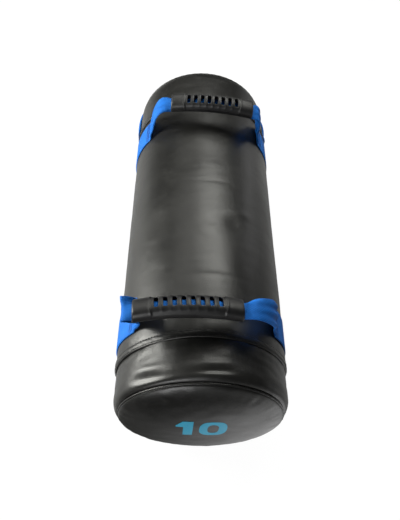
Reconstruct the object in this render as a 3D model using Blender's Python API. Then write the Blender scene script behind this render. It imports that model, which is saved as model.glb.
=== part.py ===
"""Cylindrical training sandbag with two side-carry handles and one end handle.

Units are metres. +Y runs along the bag to its rear end, +X points right and +Z up.
The origin is the centre of the flat on which the loaded bag rests.
"""

from math import ceil, copysign, cos, pi, radians, sin, tau

import bmesh
import bpy
from mathutils import Matrix, Vector
from mathutils.geometry import interpolate_bezier

# Bag
bag_length = 0.500
bag_diameter = 0.200
bag_width = 0.202
settle = 0.006
vinyl_wall = 0.0015
front_collar_length = 0.050
rear_collar_length = 0.063
end_bulge = 0.016
end_slump = 0.005
rim_round = 0.012
rim_drop = 0.007
welt_thickness = 0.0025
seam_fold_width = 0.008
seam_fold_thickness = 0.001
dent_ramp = 0.001
gap = 0.0003
overrun = 0.002

# Filling
liner_wall = 0.0008
end_foam_thickness = 0.030
sack_wall = 0.0008
foam_wrap_thickness = 0.028

# Webbing and its anchors
webbing_width = 0.038
webbing_thickness = 0.002
front_strap_from_seam = 0.037
rear_strap_from_seam = 0.037
anchor_angle = radians(50)
riser_height = 0.0042
riser_lean = 0.002
neck_width = 0.026
neck_rise = 0.014
neck_pinch_share = 0.22
tack_width = 0.003
tack_thickness = 0.0008
tack_below_anchor = 0.007
tack_length_share = 0.9

# Side handles
side_finger_gap = 0.0222
front_grip_shift = -0.0215
rear_grip_shift = 0.0065
front_lean = radians(21)
rear_lean = radians(12)
front_grip_turn = radians(-12)
rear_grip_turn = radians(20)
front_left_rise = 0.046
front_right_rise = 0.036
rear_left_rise = 0.030
rear_right_rise = 0.030
front_left_reach = 0.018
front_right_reach = 0.020
rear_left_reach = 0.016
rear_right_reach = 0.010
leg_splay = 0.003
foot_inset = 0.004

# End handle
end_finger_gap = 0.025
end_swing_offset = 0.006
end_leg_rise = 0.055
end_leg_reach = 0.045
end_tab_length = 0.006
end_droop = radians(12)

# Moulded grips
grip_length = 0.114
grip_width = 0.024
grip_thickness = 0.0195
grip_arch = 0.008
grip_end_round = 0.002
grip_recess = 0.0006
grip_plain_end = 0.020
grip_straight = 0.003
bore_width = 0.018
bore_height = 0.012
window_count = 8
window_pitch = 0.009
window_width = 0.004
window_span = 0.010
grip_power = 2.5

# Printed number
digit_height = 0.040
one_width = 0.019
zero_width = 0.031
digit_stroke = 0.009
digit_spacing = 0.007
digit_film = 0.0004
digit_rise = 0.010

# How finely round shapes are divided
section_points = 48
roll_steps = 3
leg_steps = 9
neck_steps = 4
welt_points = 6
grip_points = 20
zero_points = 24
crease_angle = radians(35)

# Shares of the sizes that they follow
dome_shares = (1.0, 0.98, 0.92, 0.80, 0.62, 0.38, 0.14)
dome_power = 0.62
one_row_shares = (
    (0.0, 0.45),
    (0.2, 0.45),
    (0.4, 0.45),
    (0.62, 0.45),
    (0.64, 0.0),
    (0.82, 0.05),
    (1.0, 0.40),
)

# Sizes that follow from those above
bag_radius = bag_diameter / 2
axis_height = bag_radius - settle
front_seam = front_collar_length - bag_length / 2
rear_seam = bag_length / 2 - rear_collar_length
rim_radius = bag_radius - rim_drop
welt_radius = welt_thickness / 2
collar_end = bag_length / 2 - welt_radius - gap
panel_start = bag_length / 2 + welt_radius + gap
strap_dent = webbing_thickness + gap
fold_dent = seam_fold_thickness + gap
strap_inner = bag_radius + gap
strap_outer = strap_inner + webbing_thickness
front_strap_y = front_seam + front_strap_from_seam
rear_strap_y = rear_seam - rear_strap_from_seam
side_swing_z = axis_height + strap_outer * cos(anchor_angle) + riser_height
end_swing_y = rear_seam + seam_fold_width / 2 + end_swing_offset
side_grip_z = axis_height + bag_radius + side_finger_gap + grip_thickness / 2
side_grip_height = side_grip_z - side_swing_z
end_grip_y = panel_start + end_bulge + end_slump + end_finger_gap + grip_thickness / 2
end_grip_height = end_grip_y - end_swing_y
tack_angle = anchor_angle + tack_below_anchor / strap_outer
liner_outer = bag_radius - vinyl_wall - gap
liner_floor = strap_dent + vinyl_wall + gap
foam_outer = liner_outer - liner_wall - gap
foam_floor = liner_floor + liner_wall + gap
sack_outer = foam_outer - foam_wrap_thickness - gap
sand_radius = sack_outer - sack_wall - gap
foam_end = bag_length / 2 - end_foam_thickness
webbing_offset = bore_height / 2 - gap - webbing_thickness / 2
bore_webbing_width = bore_width - 2 * gap
spread_share = bag_width / bag_diameter
riser_x = strap_outer * spread_share * sin(anchor_angle) + riser_lean


def material(name, colour, roughness):
    made = bpy.data.materials.new(name)
    made.use_nodes = True
    shader = made.node_tree.nodes["Principled BSDF"]
    shader.inputs["Base Color"].default_value = (*colour, 1.0)
    shader.inputs["Roughness"].default_value = roughness
    shader.inputs["Metallic"].default_value = 0.0
    return made


def clear_scene():
    for obj in list(bpy.data.objects):
        bpy.data.objects.remove(obj)


def place(name, mesh, finish, parent):
    """Adds the mesh to the scene under its parent, shaded smooth."""
    mesh.materials.append(finish)
    mesh.shade_smooth()
    mesh.set_sharp_from_angle(angle=crease_angle)
    obj = bpy.data.objects.new(name, mesh)
    obj.parent = parent
    bpy.context.collection.objects.link(obj)
    return obj


def loft(name, rings, finish, parent, closed=False):
    """Joins rings of equal point counts into one closed body, capped unless the rings come round again."""
    bm = bmesh.new()
    rows = [[bm.verts.new(point) for point in ring] for ring in rings]
    if closed:
        pairs = zip(rows, rows[1:] + rows[:1])
    else:
        pairs = zip(rows, rows[1:])
        bm.faces.new(rows[0])
        bm.faces.new(rows[-1])
    for row, following in pairs:
        for i in range(len(row)):
            j = (i + 1) % len(row)
            bm.faces.new((row[i], row[j], following[j], following[i]))
    bmesh.ops.recalc_face_normals(bm, faces=bm.faces)
    mesh = bpy.data.meshes.new(name)
    bm.to_mesh(mesh)
    bm.free()
    return place(name, mesh, finish, parent)


def slumped(y, z):
    """Where a place along the bag comes to lie, as the filling pushes the lower part of each end outwards."""
    start = abs(front_seam if y < 0 else rear_seam) + seam_fold_width / 2
    reach = min(max((abs(y) - start) / (collar_end - rim_round - start), 0.0), 1.0)
    low = 1 - (z - axis_height) / bag_radius
    return y + copysign(end_slump * reach * low, y)


def section_point(radius, angle, y, floor):
    """A point of the bag's cross-section, at an angle from the top, kept above the floor height."""
    z = max(axis_height + radius * cos(angle), floor)
    return Vector((radius * spread_share * sin(angle), slumped(y, z), z))


def section(radius, y, floor):
    """One ring round the bag: a circle with its underside cut flat."""
    turns = (tau * (i + 0.5) / section_points for i in range(section_points))
    return [section_point(radius, turn, y, floor) for turn in turns]


def dents():
    """Stretches along the bag where a strap or a fold lies under the skin, with the skin's height there."""
    strap_half = webbing_width / 2 + gap
    fold_half = seam_fold_width / 2 + gap
    return (
        (front_seam - fold_half, front_seam + fold_half, fold_dent),
        (front_strap_y - strap_half, front_strap_y + strap_half, strap_dent),
        (rear_strap_y - strap_half, rear_strap_y + strap_half, strap_dent),
        (rear_seam - fold_half, rear_seam + fold_half, fold_dent),
    )


def underside(start, end):
    """Places along the bag from start to end, with the height of the skin's flat at each."""
    low, high = min(start, end), max(start, end)
    steps = []
    for dent_start, dent_end, height in dents():
        steps.append((dent_start - dent_ramp, 0.0))
        steps.append((dent_start, height))
        steps.append((dent_end, height))
        steps.append((dent_end + dent_ramp, 0.0))
    inside = [step for step in steps if low + gap < step[0] < high - gap]
    return [(low, floor_at(low)), *inside, (high, floor_at(high))]


def floor_at(y):
    for dent_start, dent_end, height in dents():
        if dent_start <= y <= dent_end:
            return height
    return 0.0


def shell(name, stations, wall, finish, root):
    """A tube along the bag from (place, radius, floor) stations, hollow by its wall."""
    outer = [section(radius, y, floor) for y, radius, floor in stations]
    inner = [section(radius - wall, y, floor + wall) for y, radius, floor in stations]
    return loft(name, outer + inner[::-1], finish, root, closed=True)


def main_panel(finish, root):
    stations = [
        (y, bag_radius, floor)
        for y, floor in underside(front_seam + gap / 2, rear_seam - gap / 2)
    ]
    shell("main_panel", stations, vinyl_wall, finish, root)


def collar(name, end, seam, finish, root):
    """The short vinyl band between a seam and the rolled rim at one end, which is -1 or 1."""
    roll_start = collar_end - rim_round
    start = seam + end * gap / 2
    straight = underside(start, end * roll_start)
    if end < 0:
        straight.reverse()
    stations = [(y, bag_radius, floor) for y, floor in straight]
    for i in range(1, roll_steps + 1):
        turn = pi / 2 * i / roll_steps
        radius = bag_radius - rim_drop * (1 - cos(turn))
        stations.append((end * (roll_start + rim_round * sin(turn)), radius, 0.0))
    shell(name, stations, vinyl_wall, finish, root)


def dome(end, radius, rise, floor):
    """Rings over a bulged end, from its rim inwards, as the stuffing pushes the panel out."""
    rings = []
    for share in dome_shares:
        y = end * (panel_start + rise * (1 - share**2) ** dome_power)
        rings.append(section(radius * share, y, floor))
    return rings


def dome_height(distance):
    """How far the end panel's outside stands past its rim, at a distance from the bag's axis."""
    return end_bulge * (1 - (distance / rim_radius) ** 2) ** dome_power


def end_panel(name, end, finish, root):
    outer = dome(end, rim_radius, end_bulge, 0.0)
    inner = dome(end, rim_radius - vinyl_wall, end_bulge - vinyl_wall, vinyl_wall)
    loft(name, outer[::-1] + inner, finish, root)


def rim_welt(name, end, finish, root):
    """The thin round welt sewn into the seam between a collar and its end panel."""
    rings = []
    for i in range(welt_points):
        turn = tau * i / welt_points
        out = welt_radius * cos(turn)
        y = end * bag_length / 2 + welt_radius * sin(turn)
        rings.append(section(rim_radius + out, y, welt_radius - out))
    loft(name, rings, finish, root, closed=True)


def seam_fold(name, seam, finish, root):
    """The folded edge, sewn down flat, that covers the joint between the main panel and a collar."""
    half = seam_fold_width / 2
    outer = bag_radius + gap + seam_fold_thickness
    stations = ((seam - half, outer, 0.0), (seam + half, outer, 0.0))
    shell(name, stations, seam_fold_thickness, finish, root)


def liner(finish, root):
    end = collar_end - rim_round
    stations = ((-end, liner_outer, liner_floor), (end, liner_outer, liner_floor))
    shell("woven_liner", stations, liner_wall, finish, root)


def foam_wrap(finish, root):
    end = foam_end - gap
    hole = sack_outer + gap
    rings = [
        section(foam_outer, -end, foam_floor),
        section(foam_outer, end, foam_floor),
        section(hole, end, 0.0),
        section(hole, -end, 0.0),
    ]
    loft("foam_wrap", rings, finish, root, closed=True)


def end_foam(name, end, finish, root):
    """The foam block that fills one bulged end behind its panel."""
    roll_start = collar_end - rim_round
    inside = vinyl_wall + gap
    edge = rim_radius - inside - welt_radius
    rings = [
        section(foam_outer, end * foam_end, foam_floor),
        section(foam_outer, end * roll_start, foam_floor),
    ]
    rings += dome(end, edge, end_bulge - inside, foam_floor)
    loft(name, rings, finish, root)


def sand_sack(finish, root):
    """The inner bag of woven cloth: a tube with a sewn bottom, open at the rear where it is filled."""
    front = gap - foam_end
    rear = foam_end - 2 * gap - sack_wall
    inner = sack_outer - sack_wall
    rings = [
        section(sack_outer, front, 0.0),
        section(sack_outer, rear, 0.0),
        section(inner, rear, 0.0),
        section(inner, front + sack_wall, 0.0),
    ]
    loft("sand_sack", rings, finish, root)


def sack_closure(finish, root):
    """The round end piece that is sewn over the sack's mouth once it is full."""
    rear = foam_end - gap
    rings = [section(sack_outer, rear - sack_wall, 0.0), section(sack_outer, rear, 0.0)]
    loft("sack_closure", rings, finish, root)


def sand_fill(finish, root):
    front = sack_wall + 2 * gap - foam_end
    rear = foam_end - 3 * gap - sack_wall
    rings = [section(sand_radius, front, 0.0), section(sand_radius, rear, 0.0)]
    loft("sand_fill", rings, finish, root)


def across_ring(inner, outer, half_width):
    """A strap's rectangular section between two points, as wide along Y as its half width each way."""
    side = Vector((0, half_width, 0))
    return [inner - side, inner + side, outer + side, outer - side]


def ring_strap(name, y, finish, root):
    """The webbing that passes under the bag and ends in a short riser at each handle anchor."""
    half = webbing_width / 2
    top = side_swing_z - gap
    rings = [riser_ring(-1, y, top, half)]
    steps = ceil(section_points * (pi - anchor_angle) / pi)
    for i in range(steps + 1):
        angle = -anchor_angle - (tau - 2 * anchor_angle) * i / steps
        inner = section_point(strap_inner, angle, y, webbing_thickness)
        outer = section_point(strap_outer, angle, y, 0.0)
        rings.append(across_ring(inner, outer, half))
    rings.append(riser_ring(1, y, top, half))
    loft(name, rings, finish, root)


def riser_ring(side, y, height, half_width):
    """The section at the top of a riser, at the left (-1) or right (1) anchor."""
    outer = Vector((side * riser_x, y, height))
    inner = Vector((side * (riser_x - webbing_thickness), y, height))
    return across_ring(inner, outer, half_width)


def bar_tack(name, side, y, finish, root):
    """The dense bar of thread that holds the webbing to the bag below one anchor."""
    half = webbing_width * tack_length_share / 2
    inner = strap_outer + gap
    rings = []
    for turn in (-tack_width / 2, tack_width / 2):
        angle = side * tack_angle + turn / inner
        low = section_point(inner, angle, y, 0.0)
        high = section_point(inner + tack_thickness, angle, y, 0.0)
        rings.append(across_ring(low, high, half))
    loft(name, rings, finish, root)


def swing_axis(name, pose):
    """An empty on a handle's swing axis, which carries all that swings."""
    axis = bpy.data.objects.new(name, None)
    axis.matrix_world = pose
    bpy.context.collection.objects.link(axis)
    return axis


def leg_path(foot, mouth, rise, reach):
    """Points of one handle leg, from its foot up and round to the mouth of the grip."""
    side = 1 if foot.x > 0 else -1
    lift = Vector((side * leg_splay, 0, rise))
    pull = Vector((side * reach, 0, 0))
    return interpolate_bezier(foot, foot + lift, mouth + pull, mouth, leg_steps + 1)


def ribbon(path, widths, twists):
    """Rectangular sections along a path, square to it in the XZ plane and then turned by the twists."""
    rings = []
    for i, point in enumerate(path):
        along = (path[min(i + 1, len(path) - 1)] - path[max(i - 1, 0)]).normalized()
        turn = Matrix.Rotation(twists[i], 3, along)
        out = turn @ Vector((-along.z, 0, along.x)).normalized() * webbing_thickness / 2
        side = turn @ Vector((0, widths[i] / 2, 0))
        rings.append([point - out - side, point - out + side, point + out + side, point + out - side])
    return rings


def handle_strap(name, foot_x, shift, height, twist, bends, finish, axis):
    """The swinging webbing of a handle, from one neck through the grip to the other; gives its sections."""
    half = grip_length / 2 + grip_straight
    pose = Matrix.Translation((shift, 0, height)) @ Matrix.Rotation(twist, 4, "X")
    legs = []
    for side, (rise, reach) in zip((-1, 1), bends):
        foot = Vector((side * foot_x, 0, neck_rise))
        mouth = pose @ arched(side * half, webbing_offset)
        legs.append(leg_path(foot, mouth, rise, reach))
    shares = [i / leg_steps for i in range(leg_steps + 1)]
    widths = [neck_width + (bore_webbing_width - neck_width) * share for share in shares]
    twists = [twist * share for share in shares]
    low = webbing_offset - webbing_thickness / 2
    inside = arched_bar(arch_places(), low, low + webbing_thickness, bore_webbing_width / 2)
    rings = ribbon(legs[0], widths, twists)
    rings += [[pose @ point for point in ring] for ring in inside]
    rings += ribbon(legs[1][::-1], widths[::-1], twists[::-1])
    loft(name, rings, finish, axis)
    return rings


def neck(name, fixed, swinging, finish, axis):
    """The short stretch of webbing between a fixed end and a handle leg, which bends as the handle swings."""
    rings = []
    for i in range(neck_steps + 1):
        share = i / neck_steps
        pinch = 1 - neck_pinch_share * sin(pi * share)
        ring = [a.lerp(b, share) for a, b in zip(fixed, swinging)]
        across = (ring[1] - ring[0]) / 2
        inner, outer = ring[0] + across, ring[3] + across
        half = across * pinch
        rings.append([inner - half, inner + half, outer + half, outer - half])
    loft(name, rings, finish, axis)


def neck_end(ring, towards, matrix):
    """The neck's own section next to a strap's end: the same shape, one gap along towards the neck."""
    return [matrix @ (point + towards * gap) for point in ring]


def superellipse(width, height, count):
    """Points round a rounded oblong in the YZ plane."""
    points = []
    for i in range(count):
        turn = tau * (i + 0.5) / count
        y, z = cos(turn), sin(turn)
        y = abs(y) ** (2 / grip_power) * (1 if y > 0 else -1)
        z = abs(z) ** (2 / grip_power) * (1 if z > 0 else -1)
        points.append((width / 2 * y, height / 2 * z))
    return points


def block(bm, centre, size):
    made = bmesh.ops.create_cube(bm, size=1)
    matrix = Matrix.Translation(centre) @ Matrix.Diagonal((*size, 1))
    bmesh.ops.transform(bm, matrix=matrix, verts=made["verts"])


def block_row(name, blocks, finish, seat):
    bm = bmesh.new()
    for centre, size in blocks:
        block(bm, centre, size)
    mesh = bpy.data.meshes.new(name)
    bm.to_mesh(mesh)
    bm.free()
    return place(name, mesh, finish, seat)


def cut(obj, tool):
    """Takes the tool's shape out of a piece; the tool itself is only a cutter, so it isn't rendered."""
    tool.hide_render = True
    tool.display_type = "WIRE"
    boolean = obj.modifiers.new(tool.name, "BOOLEAN")
    boolean.operation = "DIFFERENCE"
    boolean.solver = "EXACT"
    boolean.object = tool


def grip_seat(name, shift, height, twist, axis):
    """An empty in the middle of a grip, turned as the grip is turned in its handle."""
    seat = bpy.data.objects.new(name, None)
    seat.parent = axis
    seat.location = (shift, 0, height)
    seat.rotation_euler.x = twist
    bpy.context.collection.objects.link(seat)
    return seat


def arched(x, z, y=0.0):
    """A point of a grip, lowered the further it is from the middle, as the grip is arched."""
    return Vector((x, y, z - grip_arch * (x / (grip_length / 2)) ** 2))


def arch_places():
    """Places along a grip, from left to right, where all that follows its arch has a section."""
    end = grip_length / 2 - grip_end_round
    plain = grip_length / 2 - grip_plain_end
    between = [window_pitch * (i - window_count / 2) for i in range(1, window_count)]
    return [-end, -plain, *between, plain, end]


def arched_bar(places, low, high, half_width):
    """Rectangular sections that follow a grip's arch at these places, between two heights."""
    return [across_ring(arched(x, low), arched(x, high), half_width) for x in places]


def grip(name, finish, seat):
    """The moulded sleeve: oval, arched, slimmer between its plain ends, with a row of windows outwards."""
    half = grip_length / 2
    left, plain_left, *between, plain_right, right = arch_places()
    stations = [(-half, 2 * grip_end_round), (left, 0.0), (plain_left, 0.0)]
    slim = (plain_left + grip_recess, *between, plain_right - grip_recess)
    stations += [(x, 2 * grip_recess) for x in slim]
    stations += [(plain_right, 0.0), (right, 0.0), (half, 2 * grip_end_round)]
    rings = []
    for x, less in stations:
        outline = superellipse(grip_width - less, grip_thickness - less, grip_points)
        rings.append([arched(x, z, y) for y, z in outline])
    sleeve = loft(name, rings, finish, seat)
    past = half + overrun
    bore = arched_bar([-past, *arch_places(), past], -bore_height / 2, bore_height / 2, bore_width / 2)
    cut(sleeve, loft(name + "_bore", bore, finish, seat))
    window_low = bore_height / 2 - overrun
    window_high = grip_thickness / 2 + overrun
    first = -window_pitch * (window_count - 1) / 2
    size = (window_width, window_span, window_high - window_low)
    middle = (window_low + window_high) / 2
    windows = [(arched(first + window_pitch * i, middle), size) for i in range(window_count)]
    cut(sleeve, block_row(name + "_windows", windows, finish, seat))


def grip_core(name, finish, seat):
    """The firm filler inside a grip, which holds the webbing up against the windows."""
    bottom = gap - bore_height / 2
    top = webbing_offset - webbing_thickness / 2 - gap
    rings = arched_bar(arch_places(), bottom, top, bore_width / 2 - gap)
    loft(name, rings, finish, seat)


def side_handle(name, y, lean, turn, shift, bends, finishes, root):
    """One top handle: strap under the bag, thread bars, necks, swinging webbing, grip and core."""
    webbing, rubber, foam, thread = finishes
    ring_strap(name + "_ring_strap", y, webbing, root)
    pose = Matrix.Translation((0, y, side_swing_z)) @ Matrix.Rotation(lean, 4, "X")
    axis = swing_axis(name + "_handle_axis", pose)
    foot_x = riser_x - webbing_thickness / 2 - foot_inset
    twist = turn - lean
    rings = handle_strap(
        name + "_handle_strap", foot_x, shift, side_grip_height, twist, bends, webbing, axis
    )
    down = Vector((0, 0, -1))
    for side, word, end in ((-1, "left", rings[0]), (1, "right", rings[-1])):
        bar_tack(f"{name}_{word}_bar_tack", side, y, thread, root)
        fixed = riser_ring(side, y, side_swing_z - gap, webbing_width / 2)
        fixed = neck_end(fixed, -down, pose.inverted())
        start = neck_end(facing(end, side), down, Matrix())
        neck(f"{name}_{word}_neck", fixed, start, webbing, axis)
    seat = grip_seat(name + "_grip_seat", shift, side_grip_height, twist, axis)
    grip(name + "_grip", rubber, seat)
    grip_core(name + "_grip_core", foam, seat)


def facing(ring, side):
    """A leg's end section with its inner edge first, as the fixed end has it."""
    inner_first = (ring[0].x - ring[3].x) * side < 0
    return ring if inner_first else [ring[3], ring[2], ring[1], ring[0]]


def end_handle(finishes, root):
    """The handle across the rear end, whose webbing is sewn into the rear seam at both sides."""
    webbing, rubber, foam, _ = finishes
    level = Matrix.Translation((0, end_swing_y, axis_height)) @ Matrix.Rotation(-pi / 2, 4, "X")
    pose = level @ Matrix.Rotation(-end_droop, 4, "X")
    axis = swing_axis("end_handle_axis", pose)
    tab_x = strap_inner * spread_share
    foot_x = tab_x + webbing_thickness / 2
    bend = (end_leg_rise, end_leg_reach)
    rings = handle_strap(
        "end_handle_strap", foot_x, 0.0, end_grip_height, 0.0, (bend, bend), webbing, axis
    )
    down = Vector((0, 0, -1))
    tab_start = gap - end_swing_offset
    half = webbing_width / 2
    for side, word, end in ((-1, "left", rings[0]), (1, "right", rings[-1])):
        sections = []
        for height in (tab_start, tab_start + end_tab_length - 2 * gap):
            inner = Vector((side * tab_x, 0, height))
            outer = Vector((side * (tab_x + webbing_thickness), 0, height))
            sections.append(across_ring(inner, outer, half))
        world = [[level @ point for point in ring] for ring in sections]
        loft(f"end_{word}_sewn_end", world, webbing, root)
        fixed = neck_end(sections[-1], -down, pose.inverted() @ level)
        start = neck_end(facing(end, side), down, Matrix())
        neck(f"end_{word}_neck", fixed, start, webbing, axis)
    seat = grip_seat("end_grip_seat", 0.0, end_grip_height, 0.0, axis)
    grip("end_grip", rubber, seat)
    grip_core("end_grip_core", foam, seat)


def on_front_panel(x, z, lift):
    """A point over the front panel's bulge, lifted off it, for a place right of and above its middle."""
    distance = (x * x + z * z) ** 0.5
    y = slumped(-(panel_start + dome_height(distance) + lift), axis_height + z)
    return Vector((x * spread_share, y, axis_height + z))


def film_section(x1, z1, x2, z2):
    """A strip's section from one place on the front panel to another, as thick as the print's film."""
    return [
        on_front_panel(x1, z1, gap),
        on_front_panel(x2, z2, gap),
        on_front_panel(x2, z2, gap + digit_film),
        on_front_panel(x1, z1, gap + digit_film),
    ]


def digit_one(left, bottom, finish, root):
    rings = []
    for height_share, left_share in one_row_shares:
        z = bottom + digit_height * height_share
        rings.append(film_section(left + one_width * left_share, z, left + one_width, z))
    loft("front_digit_one", rings, finish, root)


def digit_zero(left, bottom, finish, root):
    centre_x = left + zero_width / 2
    centre_z = bottom + digit_height / 2
    outer = superellipse(zero_width, digit_height, zero_points)
    hole_width = zero_width - 2 * digit_stroke
    hole_height = digit_height - 2 * digit_stroke
    inner = superellipse(hole_width, hole_height, zero_points)
    rings = [
        film_section(centre_x + a[0], centre_z + a[1], centre_x + b[0], centre_z + b[1])
        for a, b in zip(outer, inner)
    ]
    loft("front_digit_zero", rings, finish, root, closed=True)


def number(finish, root):
    left = -(one_width + digit_spacing + zero_width) / 2
    bottom = digit_rise - digit_height / 2
    digit_one(left, bottom, finish, root)
    digit_zero(left + one_width + digit_spacing, bottom, finish, root)


def main():
    clear_scene()
    vinyl = material("black_vinyl", (0.030, 0.030, 0.029), 0.42)
    webbing = material("blue_webbing", (0.022, 0.190, 0.680), 0.65)
    rubber = material("black_rubber", (0.022, 0.022, 0.024), 0.50)
    foam = material("grey_foam", (0.180, 0.180, 0.190), 0.90)
    cloth = material("white_cloth", (0.620, 0.620, 0.600), 0.80)
    sand = material("sand", (0.520, 0.410, 0.260), 0.95)
    thread = material("blue_thread", (0.018, 0.130, 0.500), 0.60)
    ink = material("light_blue_film", (0.045, 0.380, 0.600), 0.45)
    root = bpy.data.objects.new("training_sandbag", None)
    bpy.context.collection.objects.link(root)
    main_panel(vinyl, root)
    for name, end, seam in (("front", -1, front_seam), ("rear", 1, rear_seam)):
        collar(name + "_collar", end, seam, vinyl, root)
        end_panel(name + "_end_panel", end, vinyl, root)
        rim_welt(name + "_rim_welt", end, vinyl, root)
        seam_fold(name + "_seam_fold", seam, vinyl, root)
        end_foam(name + "_end_foam", end, foam, root)
    liner(cloth, root)
    foam_wrap(foam, root)
    sand_sack(cloth, root)
    sack_closure(cloth, root)
    sand_fill(sand, root)
    finishes = (webbing, rubber, foam, thread)
    bends = ((front_left_rise, front_left_reach), (front_right_rise, front_right_reach))
    pose = (front_strap_y, front_lean, front_grip_turn, front_grip_shift)
    side_handle("front", *pose, bends, finishes, root)
    bends = ((rear_left_rise, rear_left_reach), (rear_right_rise, rear_right_reach))
    pose = (rear_strap_y, rear_lean, rear_grip_turn, rear_grip_shift)
    side_handle("rear", *pose, bends, finishes, root)
    end_handle(finishes, root)
    number(ink, root)


main()
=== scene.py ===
"""A filled training bag: black vinyl cover, blue webbing handles, moulded grips and its filling.

Metres. +Y runs to the end with the end handle, +X is right seen from the numbered end, +Z is up.
"""

from collections import namedtuple
from math import atan, cos, pi, radians, sin, tau

import bpy
import numpy as np
from mathutils import Matrix, Vector, noise


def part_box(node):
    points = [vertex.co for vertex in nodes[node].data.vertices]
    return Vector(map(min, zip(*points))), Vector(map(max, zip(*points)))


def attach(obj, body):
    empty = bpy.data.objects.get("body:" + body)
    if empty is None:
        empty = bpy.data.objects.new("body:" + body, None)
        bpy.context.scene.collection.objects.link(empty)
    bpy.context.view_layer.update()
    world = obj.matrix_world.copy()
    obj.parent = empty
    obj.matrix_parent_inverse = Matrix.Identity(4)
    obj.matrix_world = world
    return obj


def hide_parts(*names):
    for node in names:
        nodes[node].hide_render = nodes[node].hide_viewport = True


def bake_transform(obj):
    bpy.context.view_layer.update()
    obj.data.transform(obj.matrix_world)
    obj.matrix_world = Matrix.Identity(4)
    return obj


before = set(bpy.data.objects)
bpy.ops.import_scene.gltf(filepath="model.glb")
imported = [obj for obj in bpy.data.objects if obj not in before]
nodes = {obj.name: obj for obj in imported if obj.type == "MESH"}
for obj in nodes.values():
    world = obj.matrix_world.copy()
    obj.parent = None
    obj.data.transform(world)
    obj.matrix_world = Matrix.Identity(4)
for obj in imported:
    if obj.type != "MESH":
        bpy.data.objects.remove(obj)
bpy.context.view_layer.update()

# Cover, with its two turns in degrees from the top
bag_radius = 0.100
bag_spread = 1.01
axis_height = 0.094
half_length = 0.250
front_seam = -0.1985
rear_seam = 0.187
rim_radii = {-1: 0.093, 1: 0.0962}
rim_round = 0.012
welt_radius = 0.00125
gap = 0.0003
end_bulge = 0.016
end_slump = 0.005
dome_power = 0.62
vinyl_thickness = 0.0014
fold_half = 0.004
tape_half = fold_half * 1.12
floor_blend = 0.0015
seams = {-1: front_seam, 1: rear_seam}
strap_places = {"front": -0.163, "rear": 0.150}
free_turn = 142.0
resting_turn = 156.0
stitch_line_share = 0.62
collar_crease_y = -0.2395

# Webbing
webbing_half = 0.019
webbing_thickness = 0.0018
ring_radius = bag_radius + gap + webbing_thickness / 2
anchor_angle = radians(50)
side_swing_z = 0.16396
riser_x = 0.0801
foot_x = 0.0761
foot_rise = 0.014
tab_start = 0.1913
ring_step = 0.002

# Grips
grip_half = 0.057
grip_width = 0.024
grip_thickness = 0.0195
grip_arch = 0.008
bore_width = 0.018
bore_height = 0.012
window_pitch = 0.009
side_grip_height = 0.06199
strap_offset = 0.0038
end_swing_y = 0.197
end_grip_height = 0.1103
end_droop = radians(12)
window_count = 8
window_size = (0.0044, 0.0122, 0.0070)
window_place = (0.0, 0.0008, 0.0083)
window_round = 0.0009
waist_edge = 0.0368
mouth_drop = 0.0016
mouth_round = 0.0020
grip_voxel = 0.00062

# Points along the webbing at one side: riser, neck, leg, the stretch inside the grip, and those that
# turn towards the grip before it
riser_count = 4
neck_count = 8
leg_count = 40
inner_count = 31
turning_count = 24


class Wire:
    """An output of a finish's nodes, on which sums can be written."""

    def __init__(self, finish, socket):
        self.finish = finish
        self.socket = socket

    def maths(self, operation, *others):
        values = dict(enumerate((self, *others)))
        return self.finish.node("ShaderNodeMath", {"operation": operation}, values)

    def __add__(self, other):
        return self.maths("ADD", other)

    __radd__ = __add__

    def __mul__(self, other):
        return self.maths("MULTIPLY", other)

    __rmul__ = __mul__

    def __truediv__(self, other):
        return self.maths("DIVIDE", other)

    def sine(self):
        return self.maths("SINE")

    def size(self):
        return self.maths("ABSOLUTE")

    def whole(self):
        return self.maths("FLOOR")

    def power(self, other):
        return self.maths("POWER", other)

    def rise(self, low, high):
        """0 below low, 1 above high and smooth between them."""
        return self.finish.node(
            "ShaderNodeMapRange",
            {"interpolation_type": "SMOOTHSTEP"},
            {"Value": self, "From Min": low, "From Max": high},
        )


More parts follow.
